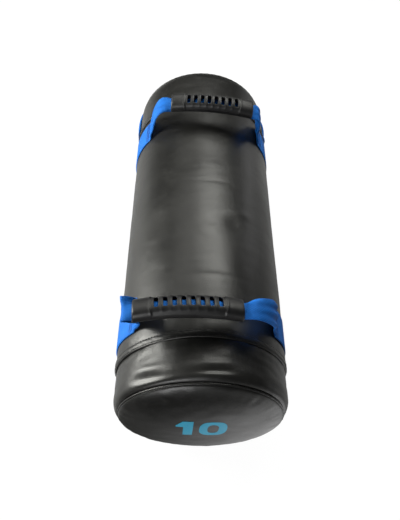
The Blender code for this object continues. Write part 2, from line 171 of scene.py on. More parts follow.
class Finish:
    """A material, or the world, made from procedural nodes."""

    def __init__(self, name, world=None):
        self.material = world or bpy.data.materials.new(name)
        self.material.use_nodes = True
        self.tree = self.material.node_tree
        self.tree.nodes.clear()
        self.place = self.node("ShaderNodeTexCoord", {}, {}, "Object")

    def node(self, kind, settings, sockets, output=0):
        """Adds a node with its settings and its sockets' values or wires; gives an output if it has any."""
        made = self.tree.nodes.new(kind)
        for name, value in settings.items():
            setattr(made, name, value)
        for name, value in sockets.items():
            if isinstance(value, Wire):
                self.tree.links.new(value.socket, made.inputs[name])
            else:
                made.inputs[name].default_value = value
        if made.outputs:
            return Wire(self, made.outputs[output])

    def stretched(self, scale):
        """Object coordinates with each axis scaled."""
        return self.node("ShaderNodeMapping", {}, {"Vector": self.place, "Scale": scale})

    def clouds(self, scale, detail=2.0, at=None, roughness=0.5):
        sockets = {"Vector": at or self.place, "Scale": scale, "Detail": detail, "Roughness": roughness}
        return self.node("ShaderNodeTexNoise", {}, sockets)

    def cells(self, scale, feature="F1"):
        sockets = {"Vector": self.place, "Scale": scale}
        return self.node("ShaderNodeTexVoronoi", {"feature": feature}, sockets, "Distance")

    def blend(self, share, first, second):
        """A colour between two, by a share from 0 to 1."""
        sockets = {0: share, 6: first, 7: second}
        return self.node("ShaderNodeMix", {"data_type": "RGBA"}, sockets, 2)

    def separated(self, vector, output):
        return self.node("ShaderNodeSeparateXYZ", {}, {0: vector}, output)

    def surface(self, colour, roughness, relief, depth, specular=0.5):
        """Ends the finish with its shader, whose relief is a height from 0 to 1 times a depth in metres."""
        bumps = {"Height": relief, "Distance": depth, "Strength": 1.0}
        sockets = {"Base Color": colour, "Roughness": roughness, "Specular IOR Level": specular}
        sockets["Normal"] = self.node("ShaderNodeBump", {}, bumps)
        self.output(self.node("ShaderNodeBsdfPrincipled", {}, sockets))
        return self.material

    def output(self, shader, kind="ShaderNodeOutputMaterial"):
        self.node(kind, {}, {"Surface": shader})

    def ray(self, kind):
        return self.node("ShaderNodeLightPath", {}, {}, kind)

    def grey(self, value):
        return self.node("ShaderNodeBsdfDiffuse", {}, {"Color": (value, value, value, 1.0)})

    def white(self, strength, kind="ShaderNodeEmission"):
        return self.node(kind, {}, {"Color": (1.0, 1.0, 1.0, 1.0), "Strength": strength})

    def mixed(self, share, first, second):
        return self.node("ShaderNodeMixShader", {}, {0: share, 1: first, 2: second})


def black_vinyl():
    """Coated cloth: soft broad gloss, fine leathery grain and handling marks."""
    finish = Finish("black_vinyl")
    cloud = finish.clouds(16.0, 4.0)
    streaks = finish.clouds(30.0, 3.0, finish.stretched((0.35, 1.6, 0.35)))
    grain = finish.cells(1150.0, "SMOOTH_F1")
    pores = finish.clouds(3200.0, 2.0)
    rubbed = finish.clouds(70.0, 5.0, roughness=0.7).rise(0.52, 0.70)
    dark = (0.0095, 0.0094, 0.0088, 1.0)
    light = (0.0165, 0.0163, 0.0152, 1.0)
    colour = finish.blend(cloud.rise(0.30, 0.72), dark, light)
    colour = finish.blend(rubbed * 0.25, colour, (0.034, 0.0335, 0.031, 1.0))
    roughness = 0.30 + 0.07 * cloud.rise(0.30, 0.75) + 0.06 * rubbed + 0.05 * streaks
    relief = 0.55 * grain + 0.25 * pores + 0.9 * streaks
    return finish.surface(colour, roughness, relief, 0.00016)


def woven_blue(name, colour, painted_groove_shade, pitch, pick):
    """Tightly woven webbing, whose yarns follow the strap by its own UV map, in metres, with painted shade:
    the grooves between the yarns take a darker copy of its blue.
    """
    finish = Finish(name)
    uv = finish.node("ShaderNodeTexCoord", {}, {}, "UV")
    across = finish.separated(uv, 0)
    along = finish.separated(uv, 1)
    column = (across / pitch).whole()
    shift = (column * pi / 2).sine().size() * pi
    yarn = (across / pitch * pi).sine().size()
    stitch = 0.5 + 0.5 * (along / pick * tau + shift).sine()
    weave = yarn.power(0.6) * (0.45 + 0.55 * stitch)
    worn = finish.clouds(45.0, 4.0)
    fuzz = finish.clouds(900.0, 3.0)
    # Painted shade: where the weave is low, between the yarns, the blue darkens to a shaded copy of itself.
    base = finish.blend(weave.rise(0.05, 0.75), painted_groove_shade, colour)
    pale = tuple(min(value * 1.35 + 0.02, 1.0) for value in colour[:3]) + (1.0,)
    base = finish.blend(worn.rise(0.45, 0.80) * 0.35, base, pale)
    roughness = 0.62 + 0.18 * fuzz
    return finish.surface(base, roughness, weave + 0.25 * fuzz, 0.00035, 0.25)


def black_rubber():
    """Moulded grip rubber: even, dark grey and softly shining, a little polished in patches."""
    finish = Finish("black_rubber")
    cloud = finish.clouds(60.0, 3.0)
    pores = finish.clouds(1500.0, 3.0)
    dark = (0.0105, 0.0105, 0.0112, 1.0)
    light = (0.0185, 0.0185, 0.0192, 1.0)
    colour = finish.blend(cloud.rise(0.35, 0.70), dark, light)
    roughness = 0.36 + 0.12 * cloud + 0.05 * pores
    return finish.surface(colour, roughness, pores, 0.00006)


def plain_thread(name, colour):
    """Twisted sewing thread, with painted shade: the grooves of its twist take a darker copy of its colour.
    """
    finish = Finish(name)
    sockets = {"Vector": finish.place, "Scale": 420.0}
    twist = finish.node("ShaderNodeTexWave", {"bands_direction": "DIAGONAL"}, sockets)
    # Painted shade: a darker copy of the thread's colour for the low places of its twist.
    painted_groove_shade = tuple(value * 0.55 for value in colour[:3]) + (1.0,)
    return finish.surface(finish.blend(twist, painted_groove_shade, colour), 0.55 + 0.1 * twist, twist, 0.0001)


def printed_film():
    """Screen-printed ink with fine pinholes, cracked a little by the grain below it."""
    finish = Finish("light_blue_film")
    cloud = finish.clouds(40.0, 4.0)
    wear = finish.clouds(900.0, 4.0, roughness=0.7).rise(0.62, 0.72)
    grain = finish.cells(1150.0, "SMOOTH_F1")
    colour = finish.blend(cloud, (0.018, 0.350, 0.550, 1.0), (0.030, 0.410, 0.630, 1.0))
    colour = finish.blend(wear * 0.5, colour, (0.022, 0.120, 0.180, 1.0))
    return finish.surface(colour, 0.42 + 0.1 * cloud, grain, 0.00010)


def soft_foam():
    finish = Finish("grey_foam")
    bubbles = finish.cells(700.0)
    cloud = finish.clouds(50.0, 3.0)
    # Painted shade: the hollows of the bubbles, where the relief is low, are darker grey.
    colour = finish.blend(bubbles.rise(0.1, 0.6), (0.10, 0.10, 0.106, 1.0), (0.21, 0.21, 0.22, 1.0))
    return finish.surface(colour, 0.85 + 0.1 * cloud, bubbles, 0.0005)


def white_cloth():
    """Woven polypropylene tape: flat crossing tapes on all sides of the sack, with painted shade darkening
    the low places between the tapes.
    """
    finish = Finish("white_cloth")
    at = finish.place
    lengthwise = (finish.separated(at, 1) / 0.0025 * pi).sine().size()
    round_about = ((finish.separated(at, 0) + finish.separated(at, 2)) / 0.0025 * pi).sine().size()
    weave = lengthwise.power(0.5) * round_about.power(0.5)
    # Painted shade: where the weave is low, between the tapes, the white turns darker grey.
    colour = finish.blend(weave.rise(0.1, 0.7), (0.34, 0.34, 0.33, 1.0), (0.66, 0.66, 0.64, 1.0))
    return finish.surface(colour, 0.60 + 0.1 * weave, weave, 0.0003)


def dry_sand():
    finish = Finish("sand")
    grains = finish.cells(1400.0)
    tint = finish.clouds(900.0, 3.0)
    colour = finish.blend(tint.rise(0.3, 0.7), (0.36, 0.27, 0.16, 1.0), (0.62, 0.51, 0.35, 1.0))
    return finish.surface(colour, 0.92 + 0.05 * tint, grains, 0.0006)


vinyl = black_vinyl()
# The webbing's second colour is a shaded copy of its blue, painted into the weave's grooves as shade.
webbing = woven_blue("blue_webbing", (0.010, 0.185, 0.700, 1.0), (0.004, 0.075, 0.330, 1.0), 0.0019, 0.0034)
rubber = black_rubber()
blue_thread = plain_thread("blue_thread", (0.018, 0.150, 0.560, 1.0))
black_thread = plain_thread("black_thread", (0.022, 0.022, 0.022, 1.0))
film = printed_film()
foam = soft_foam()
cloth = white_cloth()
sand = dry_sand()


def only(piece):
    bpy.ops.object.select_all(action="DESELECT")
    piece.select_set(True)
    bpy.context.view_layer.objects.active = piece


def edit(piece, *steps):
    """Runs edit-mode steps on the whole of one piece."""
    only(piece)
    bpy.ops.object.mode_set(mode="EDIT")
    bpy.ops.mesh.select_mode(type="VERT")
    for step in steps:
        bpy.ops.mesh.select_all(action="SELECT")
        step()
    bpy.ops.object.mode_set(mode="OBJECT")


def merge():
    bpy.ops.mesh.remove_doubles(threshold=1e-6)


def close_ends():
    bpy.ops.mesh.select_all(action="DESELECT")
    bpy.ops.mesh.select_non_manifold()
    bpy.ops.mesh.fill_holes(sides=0)


def face_out():
    bpy.ops.mesh.normals_make_consistent(inside=False)


def cloth_grid(name, points, uv=None):
    """A grid primitive laid over points in rows and columns, with a UV pair in metres for each point."""
    rows, columns = points.shape[:2]
    bpy.ops.mesh.primitive_grid_add(x_subdivisions=columns - 1, y_subdivisions=rows - 1, size=1.0)
    piece = bpy.context.object
    piece.name = piece.data.name = name
    mesh = piece.data
    mesh.vertices.foreach_set("co", points.reshape(-1).astype(np.float32))
    if uv is not None:
        corners = np.zeros(len(mesh.loops), np.int32)
        mesh.loops.foreach_get("vertex_index", corners)
        pairs = uv.reshape(-1, 2)[corners]
        mesh.uv_layers.active.data.foreach_set("uv", pairs.reshape(-1).astype(np.float32))
    mesh.update()
    return piece


def settle_modifier(piece, kind, **settings):
    """Adds one modifier and applies it."""
    only(piece)
    made = piece.modifiers.new(kind.lower(), kind)
    for name, value in settings.items():
        setattr(made, name, value)
    bpy.ops.object.modifier_apply(modifier=made.name)


def thicken(piece, thickness, offset=-1.0):
    settle_modifier(piece, "SOLIDIFY", thickness=thickness, offset=offset, use_even_offset=False)


def smooth(piece, angle=40):
    only(piece)
    bpy.ops.object.shade_smooth_by_angle(angle=radians(angle))


def dress(piece, finish, slot, body, *stands_for):
    """Gives a finished piece its material, its body and the nodes that it stands for."""
    piece.data.materials.clear()
    piece.data.materials.append(finish)
    if body:
        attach(piece, body)
    if stands_for:
        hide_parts(*stands_for)
    return piece


def rough(x, y, z, seed):
    """Smooth noise from -1 to 1 at arrays of places."""
    places = np.stack(np.broadcast_arrays(x, y, z), axis=-1).reshape(-1, 3)
    values = [noise.noise(Vector((a + seed, b - seed, c + 0.37 * seed))) for a, b, c in places.tolist()]
    return np.array(values).reshape(np.broadcast(x, y, z).shape)


def step_up(value, low, high):
    share = np.clip((value - low) / (high - low), 0.0, 1.0)
    return share * share * (3 - 2 * share)


def bump(value, centre, width):
    return np.exp(-(((value - centre) / width) ** 2))


def turn_from(angle, degrees):
    """How far an angle lies from a number of degrees, in degrees, the short way round."""
    return (np.degrees(angle) - degrees + 180.0) % 360.0 - 180.0


def floor_at(y):
    """Height of the cover's flat underside along the bag, which clears the straps and seam folds under it."""
    height = np.zeros_like(y)
    under = [(place, webbing_half, webbing_thickness + 0.0002 + gap) for place in strap_places.values()]
    under += [(place, fold_half, 0.0013) for place in seams.values()]
    for place, half, clear in under:
        inside = 1 - step_up(np.abs(y - place), half + gap, half + gap + 0.0015)
        height = np.maximum(height, clear * inside)
    return height


def slumped(y, z):
    """Where a place along the bag comes to lie as the filling pushes the lower part of each end outwards."""
    start = np.where(y < 0, -front_seam, rear_seam) + fold_half
    end = half_length - 2 * welt_radius - rim_round
    reach = np.clip((np.abs(y) - start) / (end - start), 0.0, 1.0)
    low = 1 - (z - axis_height) / bag_radius
    return y + np.sign(y) * end_slump * reach * low


def seam_drift(y, angle):
    """How far the front seam is pulled forwards at the bag's sides."""
    pull = np.where(np.sin(angle) < 0, -0.0050, -0.0035) * np.sin(angle) ** 2
    return pull * step_up(-y, 0.184, 0.194) * (1 - step_up(-y, 0.212, 0.240))


def cover_point(y, angle, radius, floor=None):
    """Points of the cover at places along the bag, turns from the top and distances from its axis."""
    low = floor_at(y) if floor is None else floor
    above = axis_height + radius * np.cos(angle) - low
    z = low + (above + np.sqrt(above**2 + floor_blend**2)) / 2
    x = radius * bag_spread * np.sin(angle)
    return np.stack([x, slumped(y, z) + seam_drift(y, angle), z], axis=-1)


def free_share(angle):
    """1 where the cover is free to crease and 0 where the bag lies on it."""
    return 1 - step_up(np.abs(turn_from(angle, 0.0)), free_turn, resting_turn)


def mark(y, angle, turn, width, place, reach):
    """A soft spot of height 1: its turn and half width in degrees, its place and reach along the bag."""
    return bump(turn_from(angle, turn), 0.0, width) * bump(y, place, reach)


def unevenness(y, angle, rows):
    """Noise over the cover, summed over rows of height, waves round the bag, length along it and seed."""
    x, z = np.sin(angle), np.cos(angle)
    return sum(height * rough(waves * x, y / length, waves * z, seed) for height, waves, length, seed in rows)


def by_fold(away, reach):
    """1 at a seam's fold and fading over a reach beyond it."""
    return np.exp(-np.maximum(away - fold_half, 0.0) / reach)


panel_noise = ((0.00075, 1.5, 0.085, 3.1), (0.00022, 4.0, 0.022, 7.7), (0.00010, 3.0, 0.0065, 11.3))

# Creases and swells of the main panel: height, then turn, half width, place and reach
panel_marks = (
    (0.0015, 6.0, 24.0, -0.1705, 0.0075),
    (-0.0013, 20.0, 7.0, -0.046, 0.014),
    (0.0009, 25.0, 8.0, -0.026, 0.006),
    (-0.00045, 5.0, 12.0, 0.0205, 0.0025),
    (-0.00050, 6.0, 16.0, -0.1245, 0.0030),
    (-0.0007, -16.0, 12.0, 0.060, 0.030),
)

# Creases of the front collar: turn and half width in degrees, depth and reach in metres
collar_creases = (
    (-37.0, 17.0, 0.00135, 0.0055),
    (4.0, 12.0, 0.00135, 0.0038),
    (52.0, 14.0, 0.0006, 0.0040),
)


def panel_relief(y, angle):
    """How far the main panel stands from a plain cylinder."""
    from_top = np.abs(turn_from(angle, 0.0))
    relief = unevenness(y, angle, panel_noise)
    relief += 0.0008 * bump(turn_from(angle, 85.0), 0.0, 40.0)
    for height, *spot in panel_marks:
        relief += height * mark(y, angle, *spot)
    for place in strap_places.values():
        for side in (-1, 1):
            swell = bump(y, place + side * (webbing_half + 0.005), 0.004)
            relief += 0.00045 * swell * step_up(from_top, 45.0, 62.0)
        under = 1 - step_up(np.abs(y - place), webbing_half, webbing_half + 0.002)
        relief -= 0.0009 * under * step_up(from_top, 48.0, 60.0)
    for end, seam in seams.items():
        away = end * (seam - y)
        puckers = rough(angle * bag_radius / 0.0085, away / 0.020, 0, 19.0 - end)
        relief += 0.00050 * puckers * by_fold(away, 0.009) - 0.0007 * by_fold(away, 0.005)
    return relief * free_share(angle)


def spread_out(low, high, fine, coarse, reach):
    """Places from low to high, close together within reach of both ends and wider between them."""
    ends = np.arange(0.0, reach, fine)
    middle = np.linspace(low + reach, high - reach, int((high - low - 2 * reach) / coarse) + 1)
    return np.concatenate([low + ends, middle, (high - ends)[::-1]])


def round_turns(count):
    return np.linspace(0.0, tau, count + 1) + pi


def cover_sheet(name, points, node):
    """A sheet of the cover through points of its outer face, which gets its wall inwards."""
    piece = cloth_grid(name, points)
    edit(piece, merge)
    thicken(piece, vinyl_thickness)
    smooth(piece)
    dress(piece, vinyl, "black_vinyl", "bag", node)


def main_cover():
    places = spread_out(front_seam + gap / 2, rear_seam - gap / 2, 0.0013, 0.0027, 0.030)
    y, angle = np.meshgrid(places, round_turns(264), indexing="ij")
    points = cover_point(y, angle, bag_radius + panel_relief(y, angle))
    cover_sheet("main_cover", points, "main_panel")


def collar_radius(distance, end):
    """Radius of a collar at a distance inwards from the rim, before any creases."""
    drop = bag_radius - rim_radii[end]
    share = np.clip(1 - distance / rim_round, 0.0, 1.0)
    return bag_radius - drop * (1 - np.sqrt(np.maximum(1 - share**2, 0.0)))


def collar_relief(y, angle, end):
    """How far a collar stands from its plain form."""
    girth = angle * bag_radius
    inward = half_length - np.abs(y)
    from_seam = np.abs(y) - abs(seams[end])
    seed = 31.0 if end < 0 else 47.0
    fine = 0.00035 if end < 0 else 0.00016
    relief = unevenness(y, angle, ((0.0007, 1.7, 0.030, seed), (fine, 5.0, 0.008, seed + 5)))
    puckers = rough(girth / 0.0080, y / 0.030, 0, seed + 9)
    relief += 0.00055 * puckers * by_fold(from_seam, 0.008) - 0.0007 * by_fold(from_seam, 0.004)
    rim_puckers = rough(girth / 0.0060, y / 0.040, 0, seed + 13)
    relief += 0.00030 * rim_puckers * np.exp(-inward / 0.006)
    if end < 0:
        relief -= 0.0006 * step_up(np.abs(turn_from(angle, 0.0)), 30.0, 75.0)
        place = collar_crease_y + 0.0012 * np.sin(angle * 5 + 0.6)
        for turn, width, depth, reach in collar_creases:
            relief -= depth * mark(y, angle, turn, width, place, reach * 0.75)
            relief += 0.75 * depth * mark(y, angle, turn, width, place + 1.9 * reach, reach)
            relief += 0.55 * depth * mark(y, angle, turn, width, place - 1.5 * reach, reach * 0.8)
        relief += 0.0006 * mark(y, angle, -45.0, 22.0, -0.222, 0.007)
    else:
        relief -= 0.0007 * mark(y, angle, -30.0, 24.0, 0.216, 0.007)
    return relief * free_share(angle)


def collar(word, end):
    rim = half_length - welt_radius - gap
    start = abs(seams[end]) + gap / 2
    places = end * np.concatenate([
        np.arange(start, rim - rim_round, 0.0012),
        rim - rim_round * (1 - np.sin(np.linspace(0.0, pi / 2, 14))),
    ])
    y, angle = np.meshgrid(np.sort(places), round_turns(300), indexing="ij")
    radius = collar_radius(rim - np.abs(y), end) + collar_relief(y, angle, end)
    cover_sheet(word + "_collar_cover", cover_point(y, angle, radius), word + "_collar")


def dome_point(x, z, lift, end):
    """A point over a bulged end, lifted off it, at a place across and above the bag's axis."""
    share = np.minimum(np.hypot(x, z) / rim_radii[end], 1.0)
    rise = end_bulge * np.maximum(1 - share**2, 0.0) ** dome_power
    start = half_length + welt_radius + gap
    relief = 0.0009 * rough(x / 0.050, z / 0.050, 0, 61.0 + end) * (1 - share**4)
    relief += 0.0003 * rough(x / 0.014, z / 0.014, 0, 67.0 + end) * (1 - share**6)
    turn = np.arctan2(x, z)
    creases = rough(3.2 * np.sin(turn) * 3, 3.2 * np.cos(turn) * 3, 0, 71.0 + end)
    relief += 0.0006 * creases * bump(share, 0.93, 0.07)
    y = end * (start + rise + relief)
    above = axis_height + z
    flat = (above + np.sqrt(above**2 + floor_blend**2)) / 2
    return np.stack([x * bag_spread, slumped(y, flat) + end * lift, flat], axis=-1)


def end_cover(word, end):
    shares = np.sin(np.linspace(0.0, pi / 2, 60))[::-end]
    share, angle = np.meshgrid(shares, round_turns(240), indexing="ij")
    radius = share * rim_radii[end]
    points = dome_point(radius * np.sin(angle), radius * np.cos(angle), 0.0, end)
    cover_sheet(word + "_end_cover", points, word + "_end_panel")


def tube(name, rings, uv=None):
    """A closed tube through rings of points, capped unless its last ring is its first."""
    piece = cloth_grid(name, rings, uv)
    edit(piece, merge)
    edit(piece, close_ends, face_out)
    return piece


def rim_piping(word, end):
    """The thin covered cord sewn into the seam between a collar and its end panel."""
    angle, turn = np.meshgrid(round_turns(220), np.linspace(0.0, tau, 11), indexing="ij")
    size = welt_radius * (1 + 0.10 * np.sin(angle * 61))
    radius = rim_radii[end] + size * np.cos(turn)
    y = end * half_length + size * np.sin(turn)
    points = cover_point(y, angle, radius, floor=welt_radius - size * np.cos(turn))
    piece = tube(word + "_rim_piping", points)
    smooth(piece)
    dress(piece, vinyl, "black_vinyl", "bag", word + "_rim_welt")


def seam_tape(word, end):
    """The folded vinyl edge over a seam, pillowed between two rows of stitches."""
    angle, share = np.meshgrid(round_turns(420), np.linspace(-1.0, 1.0, 19), indexing="ij")
    seed = 83.0 if end < 0 else 89.0
    girth = angle * bag_radius
    pillow = (1 - np.abs(share) ** 6) ** 0.5
    rows = bump(np.abs(share), stitch_line_share, 0.16)
    puckers = rough(girth / 0.0042 + 1.6 * share, 0, share, seed)
    height = 0.0013 * pillow - 0.00045 * rows + 0.00028 * puckers * pillow
    y = seams[end] + share * tape_half
    wander = 0.0004 * rough(girth / 0.040, 0, 0, seed + 2)
    top = cover_point(y + wander, angle, bag_radius + 0.0001 + height * free_share(angle), floor=0)
    under = cover_point(y + wander, angle, bag_radius - 0.0006, floor=0.0009)
    ring = np.concatenate([top, under[:, ::-1], top[:, :1]], axis=1)
    piece = tube(word + "_seam_tape", ring)
    smooth(piece, 60)
    dress(piece, vinyl, "black_vinyl", "bag", word + "_seam_fold")


def stitch_row(name, places, width, normals, finish, slot):
    """Many short stitches, each a bent capsule between two points, joined as one piece."""
    steps, sides = 4, 6
    points, faces = [], []
    for (start, end), normal in zip(places, normals):
        start, end = Vector(start), Vector(end)
        side = (end - start).normalized().cross(normal).normalized()
        first = len(points)
        for i in range(steps + 1):
            share = i / steps
            sag = sin(pi * share)
            centre = start.lerp(end, share) + normal * (width * (0.9 * sag - 0.55))
            size = width / 2 * (0.45 + 0.55 * sag)
            for j in range(sides):
                turn = tau * j / sides
                points.append(tuple(centre + side * size * cos(turn) + normal * size * sin(turn)))
        for row in range(first, first + steps * sides, sides):
            for j in range(sides):
                k = (j + 1) % sides
                faces.append((row + j, row + k, row + sides + k, row + sides + j))
        faces.append(tuple(range(first, first + sides))[::-1])
        faces.append(tuple(range(len(points) - sides, len(points))))
    mesh = bpy.data.meshes.new(name)
    mesh.from_pydata(points, [], faces)
    piece = bpy.data.objects.new(name, mesh)
    bpy.context.collection.objects.link(piece)
    edit(piece, face_out)
    smooth(piece, 60)
    return dress(piece, finish, slot, "bag")


def seam_stitches(word, end):
    """Two rows of black thread along a seam's folded edge."""
    count = 170
    half_turn = 0.0135
    places, normals = [], []
    for row in (-stitch_line_share, stitch_line_share):
        for i in range(count):
            middle = tau * (i + 0.5) / count
            if abs((middle + pi) % tau - pi) > radians(140):
                continue
            turns = np.array([middle - half_turn, middle + half_turn])
            y = np.full(2, seams[end] + row * tape_half)
            ends = cover_point(y, turns, bag_radius + 0.0012, floor=0)
            places.append(ends.tolist())
            normals.append(Vector((sin(middle), 0, cos(middle))))
    stitch_row(word + "_seam_stitches", places, 0.0007, normals, black_thread, "black_vinyl")


def bezier(start, pull_start, pull_end, end, count):
    share = np.linspace(0.0, 1.0, count)[:, None]
    left = 1 - share
    a, b, c, d = (np.array(point, float) for point in (start, pull_start, pull_end, end))
    return a * left**3 + 3 * b * share * left**2 + 3 * c * share**2 * left + d * share**3


def evenly(points, step, *others):
    """A line of points, and what goes with each, resampled at an even step along the line."""
    lengths = np.concatenate([[0.0], np.cumsum(np.linalg.norm(np.diff(points, axis=0), axis=1))])
    at = np.linspace(0.0, lengths[-1], int(round(lengths[-1] / step)) + 1)

    def resampled(column):
        return np.interp(at, lengths, column)

    return [np.apply_along_axis(resampled, 0, np.asarray(values, float)) for values in (points, *others)]


def relaxed(values, passes):
    """The values with each moved towards its neighbours, passes times, but for the two ends."""
    values = values.copy()
    for _ in range(passes):
        values[1:-1] = values[1:-1] * 0.5 + (values[:-2] + values[2:]) * 0.25
    return values


def unit(vectors):
    return vectors / np.maximum(np.linalg.norm(vectors, axis=-1, keepdims=True), 1e-9)


section_shares = np.linspace(-1.0, 1.0, 23)
edge_turns = (radians(50), 0.0, radians(-50))
least_curl = 0.02


def webbing_rings(centres, across, half, folds, curl, depth):
    """Closed sections of webbing along a line: folded lengthwise by folds and curled round at its edges."""
    along = unit(np.gradient(centres, axis=0))
    across = unit(across - along * np.sum(across * along, axis=1, keepdims=True))
    out = np.cross(along, across)
    share = section_shares[None, :]
    limit = np.maximum(curl, least_curl)[:, None]
    turn = share * limit
    side = half[:, None] * np.sin(turn) / np.sin(np.minimum(limit, pi / 2))
    rise = -depth[:, None] * (1 - np.cos(turn)) / (1 - np.cos(limit))
    rise += folds[:, None] * np.cos(pi * 2.6 * share + 0.5)
    middle = np.stack([side, rise])
    step = np.gradient(middle, axis=2)
    step = step / np.hypot(step[0], step[1])
    normal = np.stack([-step[1], step[0]])
    reach = webbing_thickness / 2
    top = middle + normal * reach
    low = middle - normal * reach
    edges = []
    for column, sign in ((-1, 1), (0, -1)):
        way = step[:, :, column] * sign
        from_middle = [cos(turn) * way + sin(turn) * normal[:, :, column] for turn in edge_turns[::sign]]
        edges.append(np.stack([middle[:, :, column] + reach * place for place in from_middle], axis=2))
    flat = np.concatenate([top, edges[0], low[:, :, ::-1], edges[1], top[:, :, :1]], axis=2)
    rings = centres[:, None, :] + flat[0][..., None] * across[:, None, :]
    rings = rings + flat[1][..., None] * out[:, None, :]
    inward = section_shares * webbing_half
    edge = webbing_half * np.array([1.01, 1.03, 1.01])
    widths = np.concatenate([inward, edge, inward[::-1], -edge, inward[:1]])
    return rings, widths


def sections(count, spots, rows):
    """Half width, fold, curl and depth of the webbing at each of its points, from those at a few spots."""
    return [np.interp(np.arange(count), spots, row) for row in rows]


def webbing_piece(name, rings, widths, lengths, body, *stands_for):
    uv = np.stack(np.broadcast_arrays(widths[None, :], lengths[:, None]), axis=-1)
    piece = tube(name, rings, uv)
    smooth(piece, 50)
    return dress(piece, webbing, "blue_webbing", body, *stands_for)


def bends_and_carry(name, rings, widths, lengths, ends, feet, start, end):
    """The bend of webbing at each neck of a handle, and the webbing carried between them."""
    body = name + "_handle"
    for word, low, high in (("left", ends[0], feet[0]), ("right", feet[1], ends[1])):
        span = slice(low, high + 1)
        bend, neck = f"{name}_{word}_bend", f"{name}_{word}_neck"
        piece = webbing_piece(bend, rings[span], widths, lengths[span], None, neck)
        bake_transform(piece)
    span = slice(feet[0], feet[1] + 1)
    webbing_piece(name + "_carry_webbing", rings[span], widths, lengths[span], body, body + "_strap")


def arch_drop(x):
    """Height of a grip's middle line over its centre: nothing in the middle, and falling to both ends."""
    return -grip_arch * (x / grip_half) ** 2


def through_grip(turned, centre, side, sunk=0.0):
    """Places of the webbing inside a grip, from one mouth to the middle, sunk below its usual place."""
    x = np.linspace(side * (grip_half + 0.001), 0.0, inner_count)
    local = np.stack([x, 0 * x, arch_drop(x) + strap_offset - sunk], axis=-1)
    return local @ np.array(turned).T + centre


# How the webbing bends between its neck and the grip: the pulls at its foot and at the grip, its splay
# outwards and lift at the grip, its half width, its skew, and how strong its folds are
Leg = namedtuple("Leg", "rise reach splay lift opened skew slack", defaults=(0.0, 0.0, 0.0115, 0.0, 1.0))


